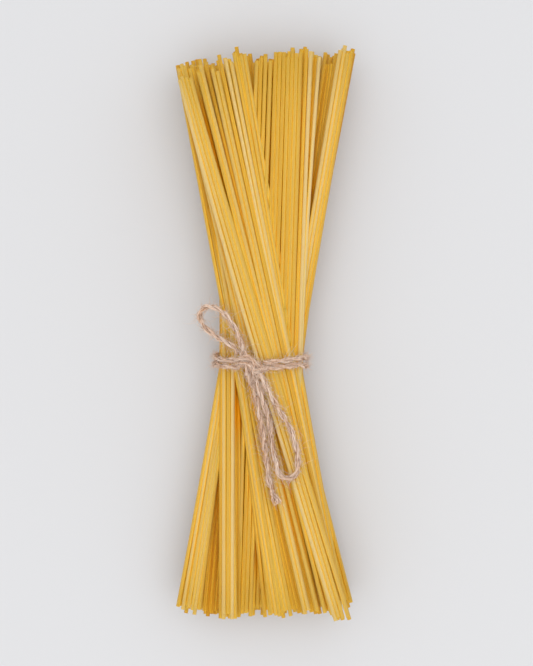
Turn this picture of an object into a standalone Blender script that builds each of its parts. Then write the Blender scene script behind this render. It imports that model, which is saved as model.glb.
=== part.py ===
"""Bundle of dry spaghetti tied at the waist with jute twine, lying on a surface.

Metres, +Z up. The strands run along Y, and the origin is the middle of the foot print, on the surface.
The bundle is one solid: rafts of parallel strands that cross at the tied waist, fluted strand by strand.
"""
import math

import bmesh
import bpy
from mathutils import Vector

# ---- driving sizes ---------------------------------------------------------------------------
STRAND_LENGTH = 0.257
STRAND = 0.0019                  # diameter of one strand
END_PLANE = 0.127                # the rafts' places are given at this distance either side of the origin
TWINE = 0.0023                   # diameter of the two-ply twine
GAP = 0.0003                     # clearance between pieces that touch

TIE_X = -0.0018                  # middle of the tied waist
TIE_Y = -0.0136
TIE_Z = 0.0196
TIE_HALF_WIDTH = 0.0199
TIE_HALF_HEIGHT = 0.0166

RIDGE = 0.0005                   # depth of the valley between two neighbouring strands
# a strand's share of the outline, as (share of its width, depth): a flat top, or a plain peak on the sides
FLAT_RIDGE = ((0.0, 1.0), (0.3, 0.0), (0.7, 0.0))
PEAKED_RIDGE = ((0.0, 1.0), (0.5, 0.0))
NESTING = 0.93                   # layers lie this much closer than a strand's diameter

# ---- the rafts -------------------------------------------------------------------------------
# name: strands across, layers deep, the sides that show (Top, Left, Right, Bottom),
#       left and right edge at the head end, height of the top layer there at those edges,
#       the same four at the foot end, and how far the raft is slid towards the head
RAFTS = {
    "keel_a": (10, 5, "LRB", (-0.0370, -0.0110), (0.00885, 0.0100),
               (0.0030, 0.0350), (0.0104, 0.00885), -0.0006),
    "keel_b": (10, 5, "LRB", (0.0080, 0.0370), (0.0122, 0.00885),
               (-0.0360, -0.0070), (0.00885, 0.0120), 0.0014),
    "belly_a": (9, 5, "LR", (-0.0370, -0.0070), (0.0170, 0.0205),
                (0.0060, 0.0350), (0.0185, 0.0165), -0.0030),
    "belly_b": (8, 5, "LR", (0.0080, 0.0360), (0.0190, 0.0180),
                (-0.0340, 0.0040), (0.0165, 0.0190), 0.0030),
    "inner": (5, 4, "T", (-0.0058, 0.0035), (0.0165, 0.0165),
              (-0.0283, -0.0190), (0.0230, 0.0225), -0.0012),
    "brace": (6, 4, "TL", (0.0020, 0.0112), (0.0190, 0.0200),
              (-0.0408, -0.0278), (0.0225, 0.0300), 0.0010),
    "rail": (3, 4, "TLR", (-0.0195, -0.0140), (0.0200, 0.0210),
             (-0.0200, -0.0142), (0.0318, 0.0322), -0.0010),
    "wedge": (5, 5, "T", (0.0244, 0.0340), (0.0235, 0.0240),
              (-0.0085, 0.0010), (0.0150, 0.0150), -0.0020),
    "wing": (4, 5, "TR", (0.0338, 0.0407), (0.0305, 0.0285),
             (-0.0080, -0.0010), (0.0155, 0.0110), 0.0036),
    "tall": (4, 4, "TR", (0.0169, 0.0245), (0.0310, 0.0300),
             (0.0060, 0.0126), (0.0220, 0.0200), 0.0040),
    "spine": (6, 5, "T", (0.0059, 0.0171), (0.0310, 0.0311),
              (-0.0034, 0.0064), (0.0238, 0.0225), 0.0018),
    "middle": (6, 5, "TL", (-0.0062, 0.0061), (0.0305, 0.0310),
               (-0.0136, -0.0032), (0.0245, 0.0240), 0.0000),
    "outer": (3, 4, "TL", (-0.0422, -0.0368), (0.0210, 0.0245),
              (0.0069, 0.0124), (0.0290, 0.0305), -0.0036),
    "flank": (5, 4, "TL", (-0.0353, -0.0269), (0.0255, 0.0290),
              (0.0005, 0.0098), (0.0270, 0.0314), -0.0012),
    "pair": (5, 2, "T", (-0.0398, -0.0297), (0.0315, 0.0332),
             (0.0116, 0.0285), (0.0345, 0.0352), -0.0034),
    "fringe": (2, 3, "TR", (-0.0262, -0.0227), (0.0268, 0.0254),
               (0.0385, 0.0420), (0.0180, 0.0148), -0.0014),
    "edge": (4, 4, "TR", (-0.0165, -0.0093), (0.0332, 0.0312),
             (0.0317, 0.0374), (0.0290, 0.0162), 0.0020),
    "slope": (4, 4, "T", (-0.0226, -0.0157), (0.0345, 0.0331),
              (0.0286, 0.0320), (0.0318, 0.0289), 0.0008),
    "crest": (5, 4, "T", (-0.0315, -0.0216), (0.0350, 0.0346),
              (0.0236, 0.0312), (0.0330, 0.0319), -0.0012),
    "steep": (4, 2, "TLR", (-0.0430, -0.0360), (0.0359, 0.0362),
              (0.0292, 0.0376), (0.0361, 0.0348), -0.0082),
}

# the filling under the rafts: Y, half width, lowest and highest point at stations along the bundle
CORE = (
    (-0.1220, 0.0355, 0.0015, 0.0255),
    (-0.0700, 0.0265, 0.0030, 0.0265),
    (TIE_Y, 0.0165, 0.0050, 0.0300),
    (0.0200, 0.0180, 0.0042, 0.0288),
    (0.0600, 0.0280, 0.0030, 0.0265),
    (0.1200, 0.0365, 0.0015, 0.0235),
)
CORE_SIDES = 16
CORE_SQUARENESS = 0.7            # 1 is an ellipse, less is squarer
CORE_STRAIGHTENS = 0.1           # distance from the tie at which the core is centred again

# the oval that the tie leaves, and how much wider and higher the bundle may be away from it
ENVELOPE = ((-0.16, 0.060), (TIE_Y - 0.008, 0.0015), (TIE_Y - 0.004, 0.0),
            (TIE_Y + 0.004, 0.0), (TIE_Y + 0.008, 0.0015), (0.16, 0.060))
ENVELOPE_SIDES = 40

# ---- the twine -------------------------------------------------------------------------------
KNOT = (-0.0070, -0.0143, 0.0390)
KNOT_HALF = (0.0050, 0.0034, 0.0034)
# twine over the knot: its centre from the knot's, reach sideways and up, and direction of its arch
KNOT_WRAPS = (
    ((0.0008, 0.0, -0.0006), (0.0024, 0.0034), (0.96, 0.28)),
    ((-0.0022, 0.0, -0.0008), (0.0022, 0.0030), (0.90, -0.44)),
)
WRAP_STEPS = 8

# the two turns: angle round the waist, from the right side down and under to the left (degrees),
# and how far the middle of each turn is from TIE_Y there
TURN_ANGLES = (87, 60, 40, 15, -10, -60, -90, -130, -160, -180, -200, -215, -230, -242)
TURN_OFFSETS = (
    (0.0000, 0.0007, 0.0015, 0.0021, 0.0020, 0.0016, 0.0015, 0.0022, 0.0029, 0.0026,
     0.0016, 0.0011, 0.0009, 0.0007),
    (-0.0028, -0.0021, -0.0013, -0.0018, -0.0018, -0.0013, -0.0013, -0.0013, -0.0010, -0.0010,
     -0.0012, -0.0017, -0.0019, -0.0021),
)
TURN_STEPS = 24
TUBE_STEP = 0.0048               # spacing of the points along a free length of twine

# routes of the free twine, from the knot and along it: x, y, z of the centre line
LOOP_LEFT = (
    (-0.0098, -0.0089, 0.0373), (-0.0103, -0.0059, 0.0362), (-0.0111, -0.0034, 0.0357),
    (-0.0123, -0.0004, 0.0354), (-0.0139, 0.0025, 0.0352), (-0.0160, 0.0057, 0.0345),
    (-0.0183, 0.0085, 0.0331), (-0.0211, 0.0106, 0.0309), (-0.0240, 0.0118, 0.0286),
    (-0.0268, 0.0120, 0.0264), (-0.0291, 0.0107, 0.0246), (-0.0301, 0.0085, 0.0236),
    (-0.0298, 0.0059, 0.0233), (-0.0284, 0.0035, 0.0236), (-0.0263, 0.0012, 0.0246),
    (-0.0239, -0.0008, 0.0262), (-0.0210, -0.0025, 0.0283), (-0.0182, -0.0040, 0.0306),
    (-0.0154, -0.0057, 0.0329), (-0.0130, -0.0076, 0.0351), (-0.0117, -0.0096, 0.0369),
)
LOOP_RIGHT = (
    (-0.0047, -0.0192, 0.0382), (-0.0038, -0.0219, 0.0377), (-0.0026, -0.0252, 0.0371),
    (-0.0015, -0.0284, 0.0365), (-0.0006, -0.0318, 0.0360), (0.0007, -0.0355, 0.0358),
    (0.0016, -0.0389, 0.0358), (0.0023, -0.0421, 0.0358), (0.0027, -0.0454, 0.0359),
    (0.0030, -0.0489, 0.0360), (0.0036, -0.0526, 0.0361), (0.0045, -0.0562, 0.0362),
    (0.0053, -0.0596, 0.0363), (0.0062, -0.0632, 0.0365), (0.0073, -0.0652, 0.0367),
    (0.0093, -0.0663, 0.0371), (0.0117, -0.0663, 0.0374), (0.0137, -0.0652, 0.0376),
    (0.0148, -0.0632, 0.0377), (0.0151, -0.0590, 0.0376), (0.0149, -0.0558, 0.0375),
    (0.0145, -0.0523, 0.0374), (0.0137, -0.0488, 0.0373), (0.0124, -0.0453, 0.0373),
    (0.0108, -0.0421, 0.0374), (0.0088, -0.0386, 0.0375), (0.0068, -0.0354, 0.0376),
    (0.0049, -0.0323, 0.0378), (0.0033, -0.0294, 0.0381), (0.0018, -0.0265, 0.0386),
    (0.0004, -0.0237, 0.0393), (-0.0010, -0.0210, 0.0401), (-0.0023, -0.0186, 0.0408),
)
TAIL = (
    (-0.0076, -0.0191, 0.0374), (-0.0063, -0.0222, 0.0362), (-0.0050, -0.0254, 0.0356),
    (-0.0038, -0.0295, 0.0354), (-0.0028, -0.0336, 0.0354), (-0.0020, -0.0377, 0.0354),
    (-0.0013, -0.0418, 0.0354), (-0.0007, -0.0459, 0.0354), (-0.0002, -0.0500, 0.0354),
    (0.0004, -0.0541, 0.0354), (0.0009, -0.0582, 0.0354), (0.0014, -0.0623, 0.0354),
    (0.0019, -0.0664, 0.0354), (0.0028, -0.0704, 0.0355), (0.0042, -0.0744, 0.0356),
    (0.0061, -0.0782, 0.0358),
)


def clear_scene():
    for obj in list(bpy.data.objects):
        bpy.data.objects.remove(obj, do_unlink=True)


def material(name, colour, roughness):
    mat = bpy.data.materials.new(name)
    mat.use_nodes = True
    shader = mat.node_tree.nodes["Principled BSDF"]
    shader.inputs["Base Color"].default_value = (*colour, 1.0)
    shader.inputs["Roughness"].default_value = roughness
    shader.inputs["Metallic"].default_value = 0.0
    return mat


def link(name, data):
    obj = bpy.data.objects.new(name, data)
    bpy.context.scene.collection.objects.link(obj)
    return obj


def evaluated_mesh(obj):
    bpy.context.view_layer.update()
    return bpy.data.meshes.new_from_object(obj.evaluated_get(bpy.context.evaluated_depsgraph_get()))


def loft(name, rings):
    """A closed mesh through rings of equally many points."""
    mesh = bmesh.new()
    loops = [[mesh.verts.new(p) for p in ring] for ring in rings]
    count = len(rings[0])
    for low, high in zip(loops, loops[1:]):
        for i in range(count):
            j = (i + 1) % count
            mesh.faces.new((low[i], low[j], high[j], high[i]))
    mesh.faces.new(list(reversed(loops[0])))
    mesh.faces.new(loops[-1])
    bmesh.ops.recalc_face_normals(mesh, faces=mesh.faces)
    bmesh.ops.triangulate(mesh, faces=mesh.faces)
    data = bpy.data.meshes.new(name)
    mesh.to_mesh(data)
    mesh.free()
    return link(name, data)


def oval(centre_x, y, centre_z, half_width, half_height, sides, squareness=1.0):
    """A ring of points across the bundle: an ellipse, or a squarer oval."""
    ring = []
    for i in range(sides):
        angle = 2 * math.pi * i / sides
        c, s = math.cos(angle), math.sin(angle)
        ring.append((centre_x + half_width * math.copysign(abs(c) ** squareness, c), y,
                     centre_z + half_height * math.copysign(abs(s) ** squareness, s)))
    return ring


def fluted_outline(across, layers, shown):
    """Unit outline of a raft, as (u, v, inset): u across 0..1, v down 0..1, one ridge a strand."""
    points = []
    for letter, ridge, count, start, end, normal in (
            ("T", FLAT_RIDGE, across, (0, 0), (1, 0), (0, 1)),
            ("R", PEAKED_RIDGE, layers, (1, 0), (1, 1), (-1, 0)),
            ("B", PEAKED_RIDGE, across, (1, 1), (0, 1), (0, -1)),
            ("L", PEAKED_RIDGE, layers, (0, 1), (0, 0), (1, 0))):
        marks = ridge if letter in shown else ((0.0, 0.0),)
        count = count if letter in shown else 1
        for i in range(count):
            for part, inset in marks:
                t = (i + part) / count
                u = start[0] + (end[0] - start[0]) * t
                v = start[1] + (end[1] - start[1]) * t
                points.append((u, v, normal[0] * inset, normal[1] * inset))
    return points


def raft_ring(outline, edges, heights, depth, y):
    ring = []
    for u, v, inset_u, inset_v in outline:
        x = edges[0] + (edges[1] - edges[0]) * u + inset_u * RIDGE
        top = heights[0] + (heights[1] - heights[0]) * u
        ring.append((x, y, max(top - depth * v - inset_v * RIDGE, 0.0)))
    return ring


def between(a, b, t):
    return tuple(p + (q - p) * t for p, q in zip(a, b))


def raft(name, across, layers, shown, head_edges, head_heights, foot_edges, foot_heights, slide):
    outline = fluted_outline(across, layers, shown)
    depth = layers * STRAND * NESTING
    slant = (sum(foot_edges) - sum(head_edges)) / 2 / (2 * END_PLANE)
    reach = STRAND_LENGTH / 2 / math.hypot(1.0, slant)
    rings = []
    for y in (slide - reach, slide + reach):
        t = (END_PLANE - y) / (2 * END_PLANE)
        edges = between(head_edges, foot_edges, t)
        heights = between(head_heights, foot_heights, t)
        rings.append(raft_ring(outline, edges, heights, depth, y))
    return loft(name, rings)


def core():
    """The filling: a plain waisted body that the rafts overlap."""
    rings = []
    for y, half, low, high in CORE:
        centre = TIE_X * (1 - min(abs(y - TIE_Y) / CORE_STRAIGHTENS, 1.0))
        rings.append(oval(centre, y, (low + high) / 2, half, (high - low) / 2, CORE_SIDES, CORE_SQUARENESS))
    return loft("core", rings)


def envelope():
    """What the tie leaves: an oval at the waist that opens quickly to either side."""
    return loft("envelope", [
        oval(TIE_X, y, TIE_Z, TIE_HALF_WIDTH + grow, TIE_HALF_HEIGHT + grow, ENVELOPE_SIDES)
        for y, grow in ENVELOPE])


def outer_skin(obj):
    """Drops any speck of skin that the rafts close off between them."""
    mesh = bmesh.new()
    mesh.from_mesh(obj.data)
    left = set(mesh.verts)
    skins = []
    while left:
        skin, front = set(), [left.pop()]
        while front:
            vert = front.pop()
            skin.add(vert)
            near = {edge.other_vert(vert) for edge in vert.link_edges} & left
            left -= near
            front.extend(near)
        skins.append(skin)
    skins.sort(key=len)
    for skin in skins[:-1]:
        bmesh.ops.delete(mesh, geom=list(skin), context="VERTS")
    mesh.to_mesh(obj.data)
    mesh.free()


def combine(target, other, operation):
    mod = target.modifiers.new("join", "BOOLEAN")
    mod.solver = "EXACT"
    mod.operation = operation
    mod.object = other
    mesh = evaluated_mesh(target)
    target.modifiers.clear()
    target.data = mesh
    bpy.data.objects.remove(other, do_unlink=True)


def bundle():
    body = core()
    body.name = "spaghetti_bundle"
    for name, spec in RAFTS.items():
        combine(body, raft(name, *spec), "UNION")
    combine(body, envelope(), "INTERSECT")
    outer_skin(body)
    return body


def smooth_route(route, step):
    """Evenly spaced points on a Catmull-Rom curve through the route's own points."""
    knots = [Vector(p) for p in route]
    knots = [2 * knots[0] - knots[1]] + knots + [2 * knots[-1] - knots[-2]]
    fine = []
    for a, b, c, d in zip(knots, knots[1:], knots[2:], knots[3:]):
        for i in range(12):
            t = i / 12
            fine.append(0.5 * (2 * b + (c - a) * t + (2 * a - 5 * b + 4 * c - d) * t * t
                               + (3 * b - a - 3 * c + d) * t ** 3))
    fine.append(knots[-2])
    lengths = [(q - p).length for p, q in zip(fine, fine[1:])]
    count = max(2, round(sum(lengths) / step))
    points, walked, index = [], 0.0, 0
    for i in range(count + 1):
        goal = sum(lengths) * i / count
        while index < len(lengths) - 1 and walked + lengths[index] < goal:
            walked += lengths[index]
            index += 1
        points.append(fine[index].lerp(fine[index + 1], min((goal - walked) / lengths[index], 1.0)))
    return points


def tube(name, points):
    """A plain round length of twine with closed ends."""
    curve = bpy.data.curves.new(name, "CURVE")
    curve.dimensions = "3D"
    curve.bevel_depth = TWINE / 2
    curve.bevel_resolution = 2
    curve.use_fill_caps = True
    spline = curve.splines.new("POLY")
    spline.points.add(len(points) - 1)
    for place, point in zip(spline.points, points):
        place.co = (*point, 1.0)
    return link(name, curve)


def offset_at(angle, offsets):
    """A turn's distance from TIE_Y at an angle round the waist, eased from mark to mark."""
    for a, b, low, high in zip(TURN_ANGLES, TURN_ANGLES[1:], offsets, offsets[1:]):
        if angle >= b:
            t = min(max((a - angle) / (a - b), 0.0), 1.0)
            return low + (high - low) * t * t * (3 - 2 * t)
    return offsets[-1]


def turn(name, offsets):
    """One turn round the waist, from the knot's right side under the bundle to its left side."""
    half_width = TIE_HALF_WIDTH + TWINE / 2 + GAP
    half_height = TIE_HALF_HEIGHT + TWINE / 2 + GAP
    points = []
    for i in range(TURN_STEPS + 1):
        degrees = TURN_ANGLES[0] + (TURN_ANGLES[-1] - TURN_ANGLES[0]) * i / TURN_STEPS
        angle = math.radians(degrees)
        points.append(Vector((TIE_X + half_width * math.cos(angle), TIE_Y + offset_at(degrees, offsets),
                              TIE_Z + half_height * math.sin(angle))))
    return tube(name, points)


def ellipsoid(name, centre, half):
    bpy.ops.mesh.primitive_uv_sphere_add(segments=14, ring_count=8, radius=1.0, location=centre)
    obj = bpy.context.object
    obj.name = name
    obj.scale = half
    bpy.ops.object.transform_apply(location=True, rotation=False, scale=True)
    return obj


def knot_wrap(centre, reach, direction):
    """A length of twine arched over the knot, as a closed mesh."""
    across = Vector((-direction[1], direction[0], 0.0))
    points = []
    for i in range(WRAP_STEPS + 1):
        angle = math.pi * i / WRAP_STEPS
        points.append(Vector(KNOT) + Vector(centre) + across * reach[0] * math.cos(angle)
                      + Vector((0, 0, reach[1] * math.sin(angle))))
    obj = tube("wrap", points)
    mesh = evaluated_mesh(obj)
    bpy.data.objects.remove(obj, do_unlink=True)
    return link("wrap", mesh)


def knot():
    """The bow's knot: a tight lump with the twine that crosses over it."""
    body = ellipsoid("twine_knot", KNOT, KNOT_HALF)
    for spec in KNOT_WRAPS:
        combine(body, knot_wrap(*spec), "UNION")
    return body


def main():
    clear_scene()
    pasta = material("dry pasta", (0.72, 0.42, 0.08), 0.45)
    jute = material("jute twine", (0.42, 0.29, 0.18), 0.9)
    pieces = [(bundle(), pasta), (knot(), jute)]
    for number, offsets in enumerate(TURN_OFFSETS):
        pieces.append((turn(f"twine_turn_{number + 1}", offsets), jute))
    for name, route in (
            ("twine_loop_left", LOOP_LEFT), ("twine_loop_right", LOOP_RIGHT), ("twine_tail", TAIL)):
        pieces.append((tube(name, smooth_route(route, TUBE_STEP)), jute))
    for obj, mat in pieces:
        obj.data.materials.clear()
        obj.data.materials.append(mat)


main()
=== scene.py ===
"""Bundle of dry spaghetti tied with jute twine: the visual model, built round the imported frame.

Metres, +Z up. The strands run along Y, head end towards +Y, and the bundle lies on the floor at z = 0.
"""
import math

import bmesh
import bpy
import numpy as np
from bpy.props import FloatProperty, FloatVectorProperty, PointerProperty
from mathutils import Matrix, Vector


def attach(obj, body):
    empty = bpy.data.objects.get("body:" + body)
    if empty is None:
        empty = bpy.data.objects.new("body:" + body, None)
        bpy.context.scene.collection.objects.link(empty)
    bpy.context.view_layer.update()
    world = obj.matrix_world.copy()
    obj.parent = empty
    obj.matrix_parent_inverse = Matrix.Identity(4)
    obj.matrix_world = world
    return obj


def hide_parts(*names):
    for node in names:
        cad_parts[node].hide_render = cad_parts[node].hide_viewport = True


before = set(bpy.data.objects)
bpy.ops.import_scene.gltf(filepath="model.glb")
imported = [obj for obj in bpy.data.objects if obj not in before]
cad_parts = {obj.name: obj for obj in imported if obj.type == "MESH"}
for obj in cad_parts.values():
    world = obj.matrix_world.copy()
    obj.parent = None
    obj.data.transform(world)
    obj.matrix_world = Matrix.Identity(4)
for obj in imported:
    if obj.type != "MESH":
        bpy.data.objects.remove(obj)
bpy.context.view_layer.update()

bl_info = {
    "name": "Spaghetti bundle",
    "version": (1, 0, 0),
    "blender": (4, 5, 0),
    "location": "View3D > Sidebar > Spaghetti",
    "description": "Models a bundle of dry spaghetti tied with jute twine",
    "category": "Object",
}

MM = 0.001

# ---- the pile of strands ----
END_PLANE = 0.127  # the hanks' places are given at this distance either side of the origin
TIE_CENTRE = (-0.0018, 0.0196)  # x and z of the middle of the tied waist
TIE_HALF = (0.0199, 0.0166)  # half width and half height of the oval that the tie leaves
TIE_Y = -0.0136

# name: strands across, layers, x of the left and right edge at the head end, height of the top layer
#       at those edges, the same four at the foot end, slide towards the head, distance from layer to
#       layer (all in mm), and paleness from left to right: 1 is floury, 0 is glassy, less is amber,
#       which is painted shade for strands that others shade
HANKS = {
    "steep": (4, 2, (-44.1, -36.4), (36.0, 36.2), (29.2, 37.6), (36.2, 34.9), -8.2, 1.8,
              (0.85, 0.75, 0.55, 0.6)),
    "shaft": (2, 1, (-41.4, -37.6), (31.0, 31.4), (17.4, 21.1), (33.6, 33.8), -3.6, 1.9, (0.7, 0.75)),
    "shaft_lone": (1, 1, (-39.3, -37.4), (32.0, 32.0), (22.9, 24.8), (34.0, 34.0), -2.4, 1.9, (0.6,)),
    "shaft_side": (1, 1, (-36.9, -35.0), (32.0, 32.0), (26.4, 28.3), (34.0, 34.0), -4.4, 1.9, (0.5,)),
    "couple": (2, 2, (-33.2, -29.3), (34.8, 34.8), (30.2, 34.1), (32.3, 32.0), -2.6, 1.9, (0.5, 0.65)),
    "under_side": (1, 2, (-35.2, -33.3), (31.2, 31.2), (28.4, 30.3), (30.4, 30.4), -4.0, 1.9, (0.1,)),
    "under_couple": (1, 2, (-28.8, -26.9), (32.8, 32.8), (31.3, 33.2), (29.6, 29.6), -3.0, 1.9, (0.0,)),
    "under_shaft": (3, 1, (-42.0, -36.4), (25.0, 25.6), (12.6, 18.2), (30.2, 30.8), -3.0, 1.9,
                    (-0.1, -0.2, -0.2)),
    "under_lone": (3, 1, (-39.6, -33.9), (30.0, 30.0), (20.4, 26.1), (31.8, 31.4), -3.2, 1.9,
                   (-0.1, -0.1, -0.3)),
    "short": (2, 2, (-26.4, -22.6), (34.6, 34.6), (30.4, 34.2), (30.4, 30.2), -4.6, 1.9, (0.7, 0.6)),
    "lone": (1, 2, (-22.4, -20.5), (33.4, 33.4), (34.6, 36.5), (30.0, 29.6), 0.6, 1.9, (0.25,)),
    "bright": (2, 2, (-19.0, -15.2), (34.4, 34.0), (31.8, 35.6), (27.8, 27.0), 0.2, 1.9, (0.95, 0.8)),
    "edge": (3, 3, (-14.2, -8.4), (33.4, 31.4), (31.4, 37.0), (25.6, 16.6), 1.6, 1.9, (0.4, 0.55, 0.5)),
    "fringe": (2, 3, (-26.4, -22.6), (26.6, 25.6), (37.6, 41.2), (18.0, 15.0), -1.6, 1.9, (0.3, 0.4)),
    "outer": (3, 3, (-42.2, -36.6), (21.4, 24.6), (6.9, 12.5), (30.2, 31.4), -3.4, 1.9, (0.35, 0.5, 0.45)),
    "flank": (2, 2, (-34.7, -30.9), (26.0, 27.0), (3.6, 7.4), (29.8, 30.4), -3.6, 1.9, (0.75, 0.55)),
    "under_flank": (2, 2, (-30.2, -26.4), (27.6, 28.4), (-0.4, 3.4), (26.0, 26.6), -1.6, 1.9, (0.3, 0.35)),
    "mid_one": (1, 3, (-4.8, -2.9), (30.2, 30.2), (-13.5, -11.6), (24.6, 24.6), -2.6, 2.0, (0.5,)),
    "mid_two": (2, 3, (-2.4, 1.4), (29.6, 30.2), (-11.2, -7.4), (24.2, 24.4), -1.6, 2.0, (0.2, 0.45)),
    "mid_three": (1, 3, (1.8, 3.7), (30.4, 30.4), (-7.2, -5.5), (24.0, 24.0), -2.4, 2.0, (0.4,)),
    "mid_four": (3, 3, (4.3, 9.9), (30.8, 31.0), (-4.0, 1.6), (23.4, 23.2), -0.4, 2.0, (0.35, 0.4, 0.3)),
    "mid_five": (4, 3, (10.1, 17.6), (31.0, 31.1), (2.2, 9.7), (23.0, 22.6), 0.8, 2.0,
                 (0.55, 0.45, 0.5, 0.4)),
    "mid_six": (1, 3, (17.8, 19.6), (30.0, 30.0), (9.9, 11.7), (22.0, 22.0), 3.2, 2.0, (0.25,)),
    "pale": (1, 2, (19.7, 21.6), (31.3, 31.3), (11.9, 13.7), (21.8, 21.8), 1.4, 2.0, (0.95,)),
    "palest": (1, 2, (22.6, 24.4), (30.8, 30.8), (12.6, 14.4), (19.6, 19.6), -1.6, 2.0, (1.0,)),
    "under_palest": (1, 2, (21.2, 23.1), (29.0, 29.0), (13.2, 15.1), (18.0, 18.0), -1.2, 2.0, (0.1,)),
    "wing": (4, 4, (33.6, 40.2), (30.5, 28.5), (-9.0, -2.1), (15.5, 11.0), 2.6, 2.0,
             (0.75, 0.85, 0.55, 0.35)),
    "wedge": (4, 3, (26.6, 33.8), (24.6, 25.0), (-7.8, 0.2), (15.0, 15.0), -2.0, 2.1, (0.1, -0.2, 0.1, -0.3)),
    "brace": (3, 3, (2.0, 7.3), (17.0, 18.0), (-40.2, -34.6), (22.5, 26.6), -1.0, 2.0, (0.45, 0.9, 0.6)),
    "brace_side": (3, 3, (5.6, 0.0), (15.0, 15.6), (-34.2, -28.6), (26.6, 27.0), -1.2, 2.0, (0.75, 0.6, 0.4)),
    "rail": (3, 3, (-19.6, -14.0), (20.0, 21.0), (-19.7, -13.7), (31.9, 32.2), -2.8, 2.0, (0.75, 0.3, 0.9)),
    "inner": (5, 3, (-5.8, 3.5), (14.5, 14.5), (-28.3, -19.6), (23.0, 24.0), -1.8, 2.0,
              (-0.4, -0.6, -0.5, -0.6, -0.6)),
    "beside_rail": (2, 2, (-14.6, -10.8), (21.0, 21.0), (-14.9, -11.0), (26.6, 26.0), -2.2, 2.0, (0.1, 0.0)),
    "belly_left": (8, 2, (-37.0, -7.1), (17.0, 20.5), (6.2, 34.7), (21.6, 19.4), -3.0, 2.8, (0.3,)),
    "belly_right": (6, 2, (8.1, 36.1), (19.0, 18.0), (-33.8, 3.9), (18.6, 21.4), 3.0, 2.8, (0.3,)),
    "keel_left": (9, 3, (-37.0, -10.8), (8.8, 10.0), (3.0, 35.2), (10.4, 8.8), -0.6, 2.6, (0.45,)),
    "keel_right": (9, 3, (8.1, 37.0), (12.2, 8.8), (-36.1, -7.1), (8.8, 12.0), 1.4, 2.6, (0.45,)),
}
STRAY = (0.08, 0.6, 1.3, 2.0)  # how far strands stray, layer by layer from the top, in mm
HOLD = (8.0, 0.8, 0.15, 0.12)  # how firmly a layer keeps its place while the pile settles
TONE_SPREAD = 0.06  # how much neighbours differ in paleness
SHADE_PER_LAYER = 0.35  # painted shade: how much deeper in colour a layer is made than the one above it
THICKNESS_SPREAD = 0.02  # how much strands differ in thickness
LIMITS = ((-41.2, 41.6), (-131.6, 132.2), (0.05, 36.1))  # x, y and z that the pile stays within, in mm

# the inner strands get painted shade in amber by their depth in the pile: how that depth is found, in mm
CELL = 0.3  # size of a cell of the cross sections
BRIDGED = 5  # gaps of up to twice this many cells count as inside
DEEPEST = 14  # the most cells of depth that are told apart
SECTIONS = 90
ROOM = (90.0, 37.0)  # width and height that the cross sections cover
PAST_ENDS = 5.0  # how far the cross sections go on past the end planes

# how the pile is settled
SEED = 11
SWEEPS = 220
STATIONS = 56  # cross sections at which the strands are held apart
SHORT_OF_ENDS = 4.0  # how far the last of them is from the end planes, in mm
SHAPES = 5  # a strand's freedoms: place, slant and three ways to bow
BOW_STIFFNESS = (0.0, 0.0, 0.5, 3.0, 12.0)
WATCHED = 1.9  # pairs that come nearer than this many widths are watched
WATCH_EVERY = 10  # and chosen anew after this many sweeps
APART = 1.01  # centre lines are pushed this many widths apart
PUSH = 0.6  # share of what is missing that a sweep makes up
HALFWAY = 0.6  # a touch may lie this many stations from the nearest one
LEVEL = 0.05  # strands that part by less than this share of their way run level
TIE_PULL = 8.0  # how firmly the tie holds, against one neighbour's push
EDGE_PUSH = 2.0  # the same for the limits of the pile
EDGE_EVERY = 11  # stations from one look at the limits to the next
DRAG = 0.05  # keeps a strand that nothing touches where it is

STRAND_SIDES = 8
STRAND_STRETCHES = 7
CUT_EDGE = 0.10  # width of a cut end's eased edge, as a share of the strand's
CUT_RISE = 0.06  # and how far the cut end stands out beyond it
OFF_FLOOR = 0.00002  # no strand comes nearer to the floor than this

# stations of the hidden core: y, half width, lowest and highest point, in mm
CORE = ((98, 14, 8, 13), (60, 13, 7, 17), (-13.6, 3.5, 16, 21), (-62, 13, 7, 17), (-96, 14, 8, 13))
CORE_SIDES = 16
CORE_TONE = 0.2

# ---- the twine: routes of its centre line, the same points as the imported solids, in mm ----
LOOP_LEFT = (
    (-9.8, -8.9, 37.3), (-10.3, -5.9, 36.2), (-11.1, -3.4, 35.7), (-12.3, -0.4, 35.4),
    (-13.9, 2.5, 35.2), (-16.0, 5.7, 34.5), (-18.3, 8.5, 33.1), (-21.1, 10.6, 30.9),
    (-24.0, 11.8, 28.6), (-26.8, 12.0, 26.4), (-29.1, 10.7, 24.6), (-30.1, 8.5, 23.6),
    (-29.8, 5.9, 23.3), (-28.4, 3.5, 23.6), (-26.3, 1.2, 24.6), (-23.9, -0.8, 26.2),
    (-21.0, -2.5, 28.3), (-18.2, -4.0, 30.6), (-15.4, -5.7, 32.9), (-13.0, -7.6, 35.1),
    (-11.7, -9.6, 36.9),
)
LOOP_RIGHT = (
    (-4.7, -19.2, 38.2), (-3.8, -21.9, 37.7), (-2.6, -25.2, 37.1), (-1.5, -28.4, 36.5),
    (-0.6, -31.8, 36.0), (0.7, -35.5, 35.8), (1.6, -38.9, 35.8), (2.3, -42.1, 35.8),
    (2.7, -45.4, 35.9), (3.0, -48.9, 36.0), (3.6, -52.6, 36.1), (4.5, -56.2, 36.2),
    (5.3, -59.6, 36.3), (6.2, -63.2, 36.5), (7.3, -65.2, 36.7), (9.3, -66.3, 37.1),
    (11.7, -66.3, 37.4), (13.7, -65.2, 37.6), (14.8, -63.2, 37.7), (15.1, -59.0, 37.6),
    (14.9, -55.8, 37.5), (14.5, -52.3, 37.4), (13.7, -48.8, 37.3), (12.4, -45.3, 37.3),
    (10.8, -42.1, 37.4), (8.8, -38.6, 37.5), (6.8, -35.4, 37.6), (4.9, -32.3, 37.8),
    (3.3, -29.4, 38.1), (1.8, -26.5, 38.6), (0.4, -23.7, 39.3), (-1.0, -21.0, 40.1),
    (-2.3, -18.6, 40.8),
)
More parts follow.
